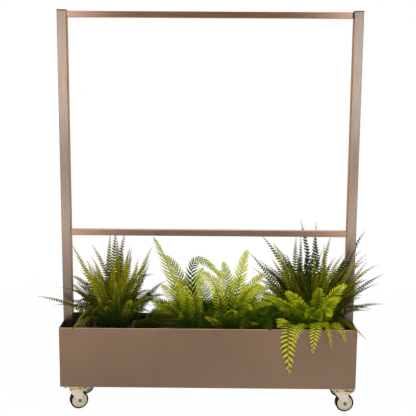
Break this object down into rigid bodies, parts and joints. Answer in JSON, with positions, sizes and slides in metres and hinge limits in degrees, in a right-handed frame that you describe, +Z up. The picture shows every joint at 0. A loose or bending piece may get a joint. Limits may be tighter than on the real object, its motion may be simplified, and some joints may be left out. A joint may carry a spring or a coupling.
{
  "type": "rolling planter screen",
  "caption": "Long sheet-metal planter box with ferns on braked swivel casters, with square posts and rails standing up from its ends as an open screen frame.",
  "frame": {"origin": "on the floor under the middle of the planter box", "axes": "+X along the box to the right, +Y to the back, +Z up"},
  "size_m": [1.4141, 0.3712, 1.6355],
  "materials": {
    "bronze_sheet": "satin bronze metallic coating",
    "bronze_tube": "bronze tint, drawn grain along the tube",
    "black_plastic": "matte moulded",
    "zinc_steel": "bright zinc plate",
    "cream_core": "moulded, slightly glossy",
    "black_tyre": "smooth rubber",
    "potting_bark": "loose dark bark",
    "sword_leaf": "dull leaf with yellow and brown tints",
    "feather_leaf": "fresh yellow-green leaf, brown stalk"
  },
  "bodies": {
    "screen": {"caster_bolts": "zinc_steel", "caster_nuts": "zinc_steel", "front_left_kingpin": "zinc_steel", "front_left_plate": "zinc_steel", "front_right_kingpin": "zinc_steel", "front_right_plate": "zinc_steel", "left_end_panel": "bronze_sheet", "left_fern": "sword_leaf", "left_post": "bronze_tube", "lower_rail": "bronze_tube", "middle_fern": "feather_leaf", "planter_liner": "black_plastic", "post_bolts": "zinc_steel", "post_caps": "black_plastic", "rail_bolts": "zinc_steel", "rail_spigots": "black_plastic", "rear_left_kingpin": "zinc_steel", "rear_left_plate": "zinc_steel", "rear_right_kingpin": "zinc_steel", "rear_right_plate": "zinc_steel", "right_end_panel": "bronze_sheet", "right_fern": "sword_leaf", "right_post": "bronze_tube", "soil_fill": "potting_bark", "top_rail": "bronze_tube", "trailing_fern": "feather_leaf", "trough": "bronze_sheet"},
    "front_left_swivel": {"front_left_race": "zinc_steel", "front_left_fork": "zinc_steel", "front_left_axle": "zinc_steel", "front_left_sleeve": "zinc_steel", "front_left_pedal_pin": "zinc_steel"},
    "front_left_roller": {"front_left_wheel": "cream_core", "front_left_tyre": "black_tyre"},
    "front_left_brake": {"front_left_pedal": "zinc_steel"},
    "front_right_swivel": {"front_right_race": "zinc_steel", "front_right_fork": "zinc_steel", "front_right_axle": "zinc_steel", "front_right_sleeve": "zinc_steel", "front_right_pedal_pin": "zinc_steel"},
    "front_right_roller": {"front_right_wheel": "cream_core", "front_right_tyre": "black_tyre"},
    "front_right_brake": {"front_right_pedal": "zinc_steel"},
    "rear_left_swivel": {"rear_left_race": "zinc_steel", "rear_left_fork": "zinc_steel", "rear_left_axle": "zinc_steel", "rear_left_sleeve": "zinc_steel", "rear_left_pedal_pin": "zinc_steel"},
    "rear_left_roller": {"rear_left_wheel": "cream_core", "rear_left_tyre": "black_tyre"},
    "rear_left_brake": {"rear_left_pedal": "zinc_steel"},
    "rear_right_swivel": {"rear_right_race": "zinc_steel", "rear_right_fork": "zinc_steel", "rear_right_axle": "zinc_steel", "rear_right_sleeve": "zinc_steel", "rear_right_pedal_pin": "zinc_steel"},
    "rear_right_roller": {"rear_right_wheel": "cream_core", "rear_right_tyre": "black_tyre"},
    "rear_right_brake": {"rear_right_pedal": "zinc_steel"}
  },
  "joints": [
    {"name": "front_left_swivel_turn", "type": "hinge", "parent": "screen", "child": "front_left_swivel", "pos_m": [-0.5545, -0.0803, 0.095], "axis": [0, 0, 1], "continuous": true},
    {"name": "front_left_roller_spin", "type": "hinge", "parent": "front_left_swivel", "child": "front_left_roller", "pos_m": [-0.53967, -0.07431, 0.0375], "axis": [-0.3746, 0.9272, 0], "continuous": true},
    {"name": "front_left_brake_press", "type": "hinge", "parent": "front_left_swivel", "child": "front_left_brake", "pos_m": [-0.53317, -0.07168, 0.0815], "axis": [-0.3746, 0.9272, 0], "range_deg": [0, 18]},
    {"name": "front_right_swivel_turn", "type": "hinge", "parent": "screen", "child": "front_right_swivel", "pos_m": [0.5545, -0.0803, 0.095], "axis": [0, 0, 1], "continuous": true},
    {"name": "front_right_roller_spin", "type": "hinge", "parent": "front_right_swivel", "child": "front_right_roller", "pos_m": [0.57046, -0.07918, 0.0375], "axis": [-0.0698, 0.9976, 0], "continuous": true},
    {"name": "front_right_brake_press", "type": "hinge", "parent": "front_right_swivel", "child": "front_right_brake", "pos_m": [0.57744, -0.0787, 0.0815], "axis": [-0.0698, 0.9976, 0], "range_deg": [0, 18]},
    {"name": "rear_left_swivel_turn", "type": "hinge", "parent": "screen", "child": "rear_left_swivel", "pos_m": [-0.5545, 0.0803, 0.095], "axis": [0, 0, 1], "continuous": true},
    {"name": "rear_left_roller_spin", "type": "hinge", "parent": "rear_left_swivel", "child": "rear_left_roller", "pos_m": [-0.53928, 0.08524, 0.0375], "axis": [-0.309, 0.9511, 0], "continuous": true},
    {"name": "rear_left_brake_press", "type": "hinge", "parent": "rear_left_swivel", "child": "rear_left_brake", "pos_m": [-0.53263, 0.08741, 0.0815], "axis": [-0.309, 0.9511, 0], "range_deg": [0, 18]},
    {"name": "rear_right_swivel_turn", "type": "hinge", "parent": "screen", "child": "rear_right_swivel", "pos_m": [0.5545, 0.0803, 0.095], "axis": [0, 0, 1], "continuous": true},
    {"name": "rear_right_roller_spin", "type": "hinge", "parent": "rear_right_swivel", "child": "rear_right_roller", "pos_m": [0.57049, 0.08086, 0.0375], "axis": [-0.0349, 0.9994, 0], "continuous": true},
    {"name": "rear_right_brake_press", "type": "hinge", "parent": "rear_right_swivel", "child": "rear_right_brake", "pos_m": [0.57749, 0.0811, 0.0815], "axis": [-0.0349, 0.9994, 0], "range_deg": [0, 18]}
  ]
}
